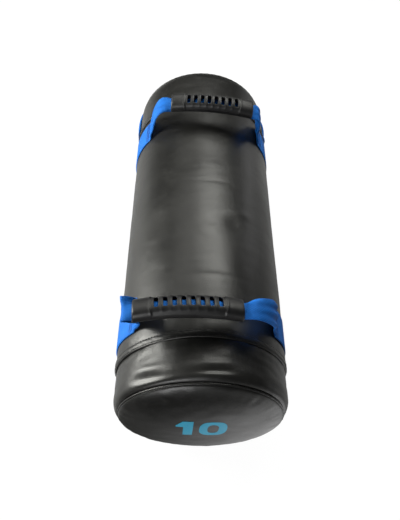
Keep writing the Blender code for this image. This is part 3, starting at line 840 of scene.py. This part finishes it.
class SideHandle:
    """A handle on the bag's top: a loop of webbing that passes under the bag and through a grip."""

    def __init__(self, name, lean, turn, shift, yaw, moved, left, right, sunk=0.0):
        self.name = name
        self.y = strap_places[name]
        self.lean = radians(lean)
        self.pivot = np.array([0.0, self.y, side_swing_z])
        self.legs = {-1: left, 1: right}
        self.sunk = sunk
        self.up = np.array([0.0, -sin(self.lean), cos(self.lean)])
        self.turned = Matrix.Rotation(radians(turn), 3, "X") @ Matrix.Rotation(radians(yaw), 3, "Z")
        self.grip_centre = self.world(shift, side_grip_height) + np.array(moved)

    def world(self, x, height):
        return self.pivot + np.array([x, 0.0, 0.0]) + self.up * height

    def side_line(self, side):
        """Points and sections from the band's end at one side up to the middle of the grip."""
        leg = self.legs[side]
        foot = self.world(side * foot_x, foot_rise)
        inside = through_grip(self.turned, self.grip_centre, side, self.sunk)
        mouth = inside[0]
        out = np.array(self.turned @ Vector((side, 0.0, 0.0)))
        foot_pull = foot + self.up * leg.rise + np.array([side * leg.splay, 0.0, 0.0])
        mouth_pull = mouth + out * leg.reach + self.up * leg.lift
        bent = bezier(foot, foot_pull, mouth_pull, mouth, leg_count)
        anchor_x = side * ring_radius * bag_spread * sin(anchor_angle)
        anchor = [anchor_x, self.y, axis_height + ring_radius * cos(anchor_angle)]
        riser = np.linspace(anchor, [side * riser_x, self.y, side_swing_z], riser_count)
        neck = np.linspace(riser[-1], foot, neck_count)[1:]
        line = np.concatenate([riser, neck, bent[1:], inside[1:]])
        level = np.array([0.0, 1.0, 0.0])
        leaning = np.array([side * leg.skew, cos(self.lean), sin(self.lean)])
        held = np.array(self.turned @ Vector((0.0, 1.0, 0.0)))
        at = np.arange(len(line))
        neck_start = riser_count - 1
        grip_start = len(line) - inner_count
        to_lean = np.interp(at, [neck_start, neck_start + neck_count - 1], [0, 1])[:, None]
        to_grip = np.interp(at, [grip_start - turning_count + 1, grip_start], [0, 1])[:, None]
        across = level * (1 - to_lean) + leaning * to_lean
        across = across * (1 - to_grip) + held * to_grip
        opened, slack = leg.opened, leg.slack
        deep = 0.0070 - 0.4 * self.sunk
        shapes = sections(len(line), [0, 4, 11, 24, 40, 47, 51, 80], (
            [0.019, 0.0185, 0.0130, 0.0135, opened, (opened + 0.0090) / 2, 0.0086, 0.0086],
            [0.0, 0.0004, 0.0022, 0.0012 * slack, 0.0006 * slack, 0.0002, 0.0, 0.0],
            [0.02, 0.05, 0.5, 0.6 * slack, 0.7 * slack, 1.1, 1.75, 1.8],
            [0.0, 0.0, 0.0010, 0.0012 * slack, 0.0016 * slack, 0.0034, deep - 0.0002, deep],
        ))
        return line, across, *shapes

    def loop(self):
        """The whole loop, from under the bag up the left side, through the grip and down the right side."""
        turns = np.linspace(pi, anchor_angle, 160)[:-1]
        sides = zip(self.side_line(-1), self.side_line(1))
        line, across, *shapes = (np.concatenate([left, right[::-1][1:]]) for left, right in sides)
        above = axis_height + ring_radius * np.cos(turns)
        lowest = webbing_thickness / 2 + 0.0001
        z = lowest + (above - lowest + np.sqrt((above - lowest) ** 2 + 0.0006**2)) / 2
        x = ring_radius * bag_spread * np.sin(turns)
        band = np.stack([-x, np.full_like(x, self.y), z], axis=-1)
        other = band * np.array([-1.0, 1.0, 1.0])
        flat = np.tile([0.0, 1.0, 0.0], (len(turns), 1))
        parts = [np.concatenate([band, line, other[::-1]]), np.concatenate([flat, across, flat])]
        for under, shape in zip((webbing_half, 0.0, least_curl, 0.0), shapes):
            edge = np.full(len(turns), under)
            parts.append(np.concatenate([edge, shape, edge]))
        return parts

    def build(self):
        line, *parts = self.loop()
        line, across, half, folds, curl, depth = evenly(line, ring_step, *parts)
        line = relaxed(line, 3)
        across = relaxed(across, 6)
        shapes = (relaxed(half, 4), relaxed(folds, 4), relaxed(curl, 6), relaxed(depth, 6))
        rings, widths = webbing_rings(line, across, *shapes)
        lengths = np.arange(len(line)) * ring_step
        upper = np.flatnonzero(line[:, 2] > side_swing_z)
        first, last = upper[0], upper[-1]
        from_foot = np.abs((line - self.pivot) @ self.up - foot_rise)
        left_foot = first + np.argmin(from_foot[first:first + 20])
        right_foot = last - np.argmin(from_foot[last:last - 21:-1])
        name = self.name
        under = np.concatenate([rings[last:], rings[1:first + 1]])
        along = np.concatenate([lengths[last:] - lengths[-1], lengths[1:first + 1]])
        webbing_piece(name + "_band", under, widths, along, "bag", name + "_ring_strap")
        pivot = Vector(self.pivot)
        up = Vector((0.0, -sin(self.lean / 2), cos(self.lean / 2)))
        hinge = (pivot + up * 0.0035, pivot + up * 0.0105)
        bends_and_carry(name, rings, widths, lengths, (first, last), (left_foot, right_foot), *hinge)
        self.tacks()
        grip_set(name, self.grip_centre, self.turned, name + "_handle", self.sunk)

    def tacks(self):
        """Close zigzag bars of thread that hold the band to the cover below each anchor."""
        radius = ring_radius + webbing_thickness / 2 + gap
        for side, word in ((-1, "left"), (1, "right")):
            places, normals = [], []
            for below in (0.0060, 0.0095):
                angle = side * (anchor_angle + below / ring_radius)
                turns = angle + side * np.array([-0.0011, 0.0011]) / ring_radius
                x, z = radius * bag_spread * np.sin(turns), axis_height + radius * np.cos(turns)
                for y in self.y + webbing_half * 0.88 * np.linspace(-1, 1, 24):
                    places.append(np.stack([x, [y - 0.0005, y + 0.0005], z], axis=-1).tolist())
                    normals.append(Vector((sin(angle), 0.0, cos(angle))))
            name = f"{self.name}_{word}_tack_stitches"
            piece = stitch_row(name, places, 0.0009, normals, blue_thread, "blue_thread")
            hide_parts(f"{self.name}_{word}_bar_tack")


def end_handle():
    """The handle across the rear end, whose webbing is sewn into the rear seam at both sides."""
    away = np.array([0.0, cos(end_droop), -sin(end_droop)])
    swing = np.array([0.0, end_swing_y, axis_height])
    centre = swing + away * end_grip_height
    turned = Matrix.Rotation(-pi / 2 - end_droop, 3, "X")
    tab_x = (bag_radius + gap) * bag_spread + webbing_thickness / 2
    lines = []
    for side, bow in ((-1, 0.003), (1, 0.009)):
        foot = swing + [side * (tab_x - gap), 0.0, 0.0] + away * foot_rise
        inside = through_grip(turned, centre, side)
        tab = np.linspace([side * tab_x, tab_start, axis_height], [side * tab_x, end_swing_y, axis_height], 5)
        neck = np.linspace(tab[-1], foot, 7)[1:]
        pulls = (foot + away * 0.055 + [side * bow, 0.0, 0.0], inside[0] + [side * 0.045, 0.0, 0.0])
        leg = bezier(foot, *pulls, inside[0], leg_count)
        lines.append(np.concatenate([tab, neck, leg[1:], inside[1:]]))
    shapes = sections(len(lines[0]), [0, 3, 11, 24, 40, 47, 50, 79], (
        [0.019, 0.019, 0.0130, 0.0135, 0.0130, 0.0105, 0.0086, 0.0086],
        [0.0, 0.0003, 0.0022, 0.0012, 0.0006, 0.0003, 0.0, 0.0],
        [0.02, 0.05, 0.15, 0.5, 0.9, 1.2, 1.75, 1.8],
        [0.0, 0.0, 0.0002, 0.0010, 0.0026, 0.0042, 0.0068, 0.0070],
    ))
    line = np.concatenate([lines[0], lines[1][::-1][1:]])
    shapes = [np.concatenate([shape, shape[::-1][1:]]) for shape in shapes]
    drooped = np.clip((line[:, 1:2] - end_swing_y) / foot_rise, 0.0, 1.0) * end_droop
    across = np.concatenate([0 * drooped, -np.sin(drooped), -np.cos(drooped)], axis=1)
    line, across, *shapes = evenly(line, ring_step, across, *shapes)
    line = relaxed(line, 3)
    rings, widths = webbing_rings(line, across, *(relaxed(shape, 5) for shape in shapes))
    lengths = np.arange(len(line)) * ring_step
    upper = np.flatnonzero(line[:, 1] - end_swing_y > -gap)
    first, last = upper[0], upper[-1]
    feet = np.flatnonzero((line - swing) @ away > foot_rise)
    webbing_piece("end_left_tab", rings[:first + 1], widths, lengths[:first + 1], "bag", "end_left_sewn_end")
    webbing_piece("end_right_tab", rings[last:], widths, lengths[last:], "bag", "end_right_sewn_end")
    hinge = (Vector(swing + away * 0.0020), Vector(swing + away * 0.0120))
    bends_and_carry("end", rings, widths, lengths, (first, last), (feet[0], feet[-1]), *hinge)
    grip_set("end", centre, turned, "end_handle")


def rounded_oblong(turn, width, height, power=2.5):
    y, z = np.cos(turn), np.sin(turn)
    y = np.abs(y) ** (2 / power) * np.sign(y)
    z = np.abs(z) ** (2 / power) * np.sign(z)
    return width / 2 * y, height / 2 * z


def arched_bar(name, half, width, height, power, lift=0.0):
    """A bar of rounded section along X that follows a grip's arch."""
    x, turn = np.meshgrid(np.linspace(-half, half, 61), np.linspace(0.0, tau, 41), indexing="ij")
    y, z = rounded_oblong(turn, width, height, power)
    return tube(name, np.stack([x, y, z + lift + arch_drop(x)], axis=-1))


def grip_sleeve(name):
    """The moulded sleeve round its own middle, along X: slimmer between two curved steps, with windows."""
    inner = grip_half - 0.0004
    x_places = np.concatenate([[-grip_half], np.linspace(-inner, inner, 190), [grip_half]])
    x, turn = np.meshgrid(x_places, np.linspace(0.0, tau, 97), indexing="ij")
    y, z = rounded_oblong(turn, 1.0, 1.0)
    share = 1 - np.clip((grip_half - np.abs(x)) / mouth_round, 0, 1)
    less = mouth_drop * (1 - np.sqrt(np.clip(1 - share**2, 0, 1)))
    from_edge = waist_edge + 0.0022 * (1 - (2 * y) ** 2) - np.abs(x)
    facing = step_up(z, 0.02, 0.22)
    less += 0.00065 * step_up(from_edge, -0.0003, 0.0004) * facing
    less -= 0.00045 * bump(from_edge, -0.0011, 0.0007) * facing
    for i in range(window_count - 1):
        less -= 0.0004 * bump(x, window_pitch * (i - window_count / 2 + 1), 0.0016) * step_up(z, 0.2, 0.4)
    wide = grip_width / 2 - less
    high = grip_thickness / 2 - less
    piece = tube(name, np.stack([x, 2 * y * wide, 2 * z * high + arch_drop(x)], axis=-1))
    carve(piece, arched_bar(name + "_bore", grip_half + 0.002, bore_width, bore_height, 6.0))
    for i in range(window_count):
        place = window_pitch * (i - (window_count - 1) / 2)
        well = rounded_block(name + "_well", window_size, window_place, window_round)
        slope = atan(2 * grip_arch * place / grip_half**2)
        put(well, (place, 0.0, arch_drop(place)), Matrix.Rotation(slope, 3, "Y"))
        carve(piece, well)
    return piece


def rounded_block(name, size, place, radius):
    bpy.ops.mesh.primitive_cube_add(size=1.0, location=place, scale=size)
    block = bpy.context.object
    block.name = name
    bpy.ops.object.transform_apply(location=True, rotation=True, scale=True)
    edit(block, lambda: bpy.ops.mesh.bevel(offset=radius, segments=4, affect="EDGES"))
    return block


def carve(piece, block):
    settle_modifier(piece, "BOOLEAN", operation="DIFFERENCE", solver="EXACT", object=block)
    bpy.data.objects.remove(block)


def put(piece, centre, turned):
    """Moves a piece made round the origin to its place, in its mesh."""
    piece.data.transform(Matrix.Translation(Vector(centre)) @ turned.to_4x4())
    piece.data.update()


def grip_set(name, centre, turned, body, sunk=0.0):
    """A grip's sleeve and the foam below the webbing in it, which is thinner where the webbing is sunk."""
    sleeve = grip_sleeve(name + "_sleeve")
    settle_modifier(sleeve, "REMESH", mode="VOXEL", voxel_size=grip_voxel, adaptivity=0.0)
    settle_modifier(sleeve, "SMOOTH", factor=0.5, iterations=3)
    put(sleeve, centre, turned)
    smooth(sleeve, 80)
    dress(sleeve, rubber, "black_rubber", body, name + "_grip")
    core = arched_bar(name + "_core", 0.055, 0.0140, 0.0076 - sunk, 4.0, -0.0018 - sunk / 2)
    put(core, centre, turned)
    smooth(core, 60)
    dress(core, foam, "grey_foam", body, name + "_grip_core")


def printed_digit(name, across, height, node):
    """Ink over the front panel, laid on its bulge at places across and above its middle."""
    piece = cloth_grid(name, dome_point(across, height, 0.00012, -1))
    edit(piece, merge)
    thicken(piece, 0.0001, 1.0)
    smooth(piece, 60)
    dress(piece, film, "light_blue_film", "bag", node)


def number():
    """A plain 1 and 0 on the front panel."""
    low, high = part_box("front_digit_one")
    left, right, bottom, top = low.x, high.x, low.z - axis_height, high.z - axis_height
    shares = np.concatenate([np.linspace(0.0, 0.63, 20), [0.635], np.linspace(0.64, 1.0, 14)])
    edge = np.interp(shares, [0.0, 0.63, 0.635, 0.64, 0.72, 1.0], [0.44, 0.44, 0.44, 0.0, 0.0, 0.38])[:, None]
    share, column = np.meshgrid(shares, np.linspace(0.0, 1.0, 16), indexing="ij")
    across = left + (right - left) * (edge + (1 - edge) * column)
    printed_digit("printed_one", across / bag_spread, bottom + (top - bottom) * share, "front_digit_one")
    low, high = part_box("front_digit_zero")
    middle = ((low.x + high.x) / 2, (low.z + high.z) / 2 - axis_height)
    size = (high.x - low.x, high.z - low.z)
    turn, band = np.meshgrid(np.linspace(0.0, tau, 97), np.linspace(0.0, 1.0, 9), indexing="ij")
    outer = rounded_oblong(turn, size[0], size[1], 2.7)
    inner = rounded_oblong(turn, size[0] - 0.0185, size[1] - 0.0150, 2.7)
    across = middle[0] + outer[0] * (1 - band) + inner[0] * band
    height = middle[1] + outer[1] * (1 - band) + inner[1] * band
    printed_digit("printed_zero", across / bag_spread, height, "front_digit_zero")


def filling():
    """The pieces inside the cover keep their solids and get their own finishes."""
    finishes = {
        "woven_liner": cloth, "foam_wrap": foam, "front_end_foam": foam, "rear_end_foam": foam,
        "sand_sack": cloth, "sack_closure": cloth, "sand_fill": sand,
    }
    for name, finish in finishes.items():
        nodes[name].data.materials.clear()
        nodes[name].data.materials.append(finish)


def area_light(name, place, towards, size, power, colour=(1.0, 1.0, 1.0)):
    bpy.ops.object.light_add(type="AREA", location=place)
    lamp = bpy.context.object
    lamp.name = name
    lamp.data.shape = "RECTANGLE"
    lamp.data.size, lamp.data.size_y = size
    lamp.data.energy = power
    lamp.data.color = colour
    way = Vector(towards) - Vector(place)
    lamp.rotation_euler = way.to_track_quat("-Z", "Y").to_euler()


def mirrored_card(name, place, size, finish):
    """A flat card on the floor before the bag, which only the bag's gloss shows: painted shade when it is
    black, a painted reflection when it glows.
    """
    bpy.ops.mesh.primitive_plane_add(size=1.0, location=place, rotation=(0.0, 0.0, radians(-18)))
    card = bpy.context.object
    card.name = name
    card.scale = size
    card.visible_camera = card.visible_diffuse = card.visible_shadow = card.visible_transmission = False
    card.data.materials.append(finish.material)


def studio():
    """A white floor that keeps the bag's soft shadow, a white world, broad lamps and two cards that only the
    bag's gloss shows: a black one as painted shade and a glowing one as a painted reflection.
    """
    bpy.ops.mesh.primitive_plane_add(size=14.0, location=(0.0, 0.0, 0.0))
    ground = bpy.context.object
    ground.name = "studio_floor"
    finish = Finish("studio_floor")
    shown = finish.ray("Is Camera Ray") * 0.88 + finish.ray("Is Glossy Ray") * 0.15
    finish.output(finish.mixed(shown, finish.grey(0.50), finish.white(1.11)))
    ground.data.materials.append(finish.material)
    world = bpy.data.worlds.new("studio")
    bpy.context.scene.world = world
    sky = Finish("studio", world)
    background = "ShaderNodeBackground"
    lit = sky.mixed(sky.ray("Is Camera Ray"), sky.white(0.05, background), sky.white(1.0, background))
    sky.output(lit, "ShaderNodeOutputWorld")
    warm = (1.0, 1.0, 0.94)
    area_light("top_softbox", (0.22, 0.45, 0.96), (0.0, 0.0, 0.15), (0.58, 0.30), 4.2, warm)
    area_light("wide_softbox", (-0.10, 0.62, 0.98), (0.0, 0.0, 0.15), (1.30, 0.36), 3.6, warm)
    area_light("left_softbox", (-1.30, 0.14, 0.54), (0.0, -0.20, 0.10), (0.45, 1.00), 28.0, warm)
    area_light("right_softbox", (1.30, 1.10, 0.45), (0.0, 0.0, 0.10), (0.60, 0.60), 1.5)
    area_light("front_softbox", (-0.60, -1.70, 0.40), (0.0, -0.25, 0.05), (0.80, 0.80), 12.5)
    # The black card is painted shade: a dark sheet that the end panel's gloss shows where the floor before
    # the bag would lie in the bag's shade.
    dark = Finish("painted_shade_card")
    dark.output(dark.grey(0.01))
    mirrored_card("painted_shade_card", (-0.16, -0.53, 0.002), (0.56, 0.42, 1.0), dark)
    # The white card is a painted reflection: a sheet that glows for gloss alone, brighter to the right, and
    # brightens the lower right of the end panel's gloss.
    pale = Finish("painted_reflection_card")
    share = pale.separated(pale.place, 0).rise(-0.45, 0.10)
    pale.output(pale.mixed(share, pale.grey(0.10), pale.white(1.5)))
    mirrored_card("painted_reflection_card", (0.14, -0.330, 0.003), (0.56, 0.12, 1.0), pale)


def camera():
    """A camera at the photograph's viewing angle, turned by a yaw, a pitch below level and a roll."""
    place = (-0.03915, -0.42739, 0.65923)
    yaw, pitch, roll = 0.0963, 0.96424, 0.12047
    forward = Vector((sin(yaw) * cos(pitch), cos(yaw) * cos(pitch), -sin(pitch)))
    right = Vector((cos(yaw), -sin(yaw), 0.0))
    up = right.cross(forward)
    side = right * cos(roll) + up * sin(roll)
    top = up * cos(roll) - right * sin(roll)
    data = bpy.data.cameras.new("photo_camera")
    made = bpy.data.objects.new("photo_camera", data)
    bpy.context.scene.collection.objects.link(made)
    turned = Matrix((side, top, -forward)).transposed().to_4x4()
    made.matrix_world = Matrix.Translation(place) @ turned
    data.lens = 34.13
    data.sensor_width = 36.0
    data.sensor_fit = "AUTO"
    data.clip_start = 0.01
    bpy.context.scene.camera = made


studio()
camera()
main_cover()
for make in (collar, end_cover, rim_piping, seam_tape, seam_stitches):
    make("front", -1)
    make("rear", 1)
SideHandle(
    "front", lean=21, turn=-12, shift=-0.0215, yaw=3, moved=(0.0, 0.0013, 0.0025),
    left=Leg(0.037, 0.024, splay=-0.001, lift=-0.001, opened=0.0125, skew=0.20, slack=0.20),
    right=Leg(0.026, 0.020, splay=0.003, lift=0.012, slack=0.55),
).build()
SideHandle(
    "rear", lean=12, turn=20, shift=0.0065, yaw=-2, moved=(0.0, 0.0, -0.0015), sunk=0.0046,
    left=Leg(0.028, 0.016, splay=-0.003, slack=0.6),
    right=Leg(0.026, 0.010, splay=0.003, slack=0.8),
).build()
end_handle()
number()
filling()

bpy.context.scene.view_settings.view_transform = "Standard"
